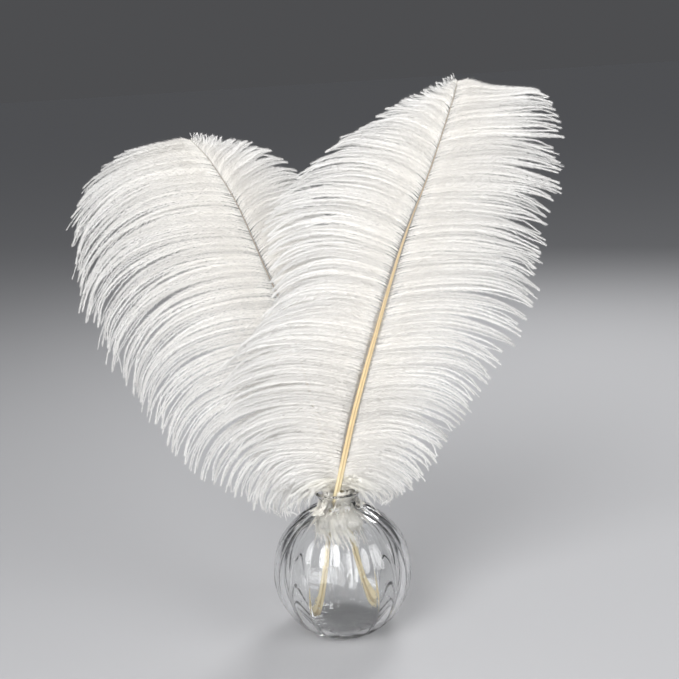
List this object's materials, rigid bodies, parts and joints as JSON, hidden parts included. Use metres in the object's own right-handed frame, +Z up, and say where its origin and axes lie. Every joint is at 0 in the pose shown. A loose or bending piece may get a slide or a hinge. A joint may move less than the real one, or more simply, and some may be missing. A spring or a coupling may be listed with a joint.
{
  "type": "ostrich feathers in a glass bud vase",
  "caption": "White ostrich plumes standing crossed in a small clear ribbed glass bud vase with a round body and a flared lip.",
  "frame": {"origin": "centre of the vase's flat foot, on the surface that it stands on", "axes": "+Z up along the vase's axis, -Y towards the viewer that the plumes face, +X to the right, where the front plume leans"},
  "size_m": [0.3436, 0.1515, 0.3668],
  "materials": {
    "clear_glass": "clear ribbed blown glass with a few bubbles",
    "white_plume": "soft white barbs on a golden tan shaft"
  },
  "bodies": {
    "root": {"vase": "clear_glass", "front_feather": "white_plume", "back_feather": "white_plume"}
  },
  "joints": []
}
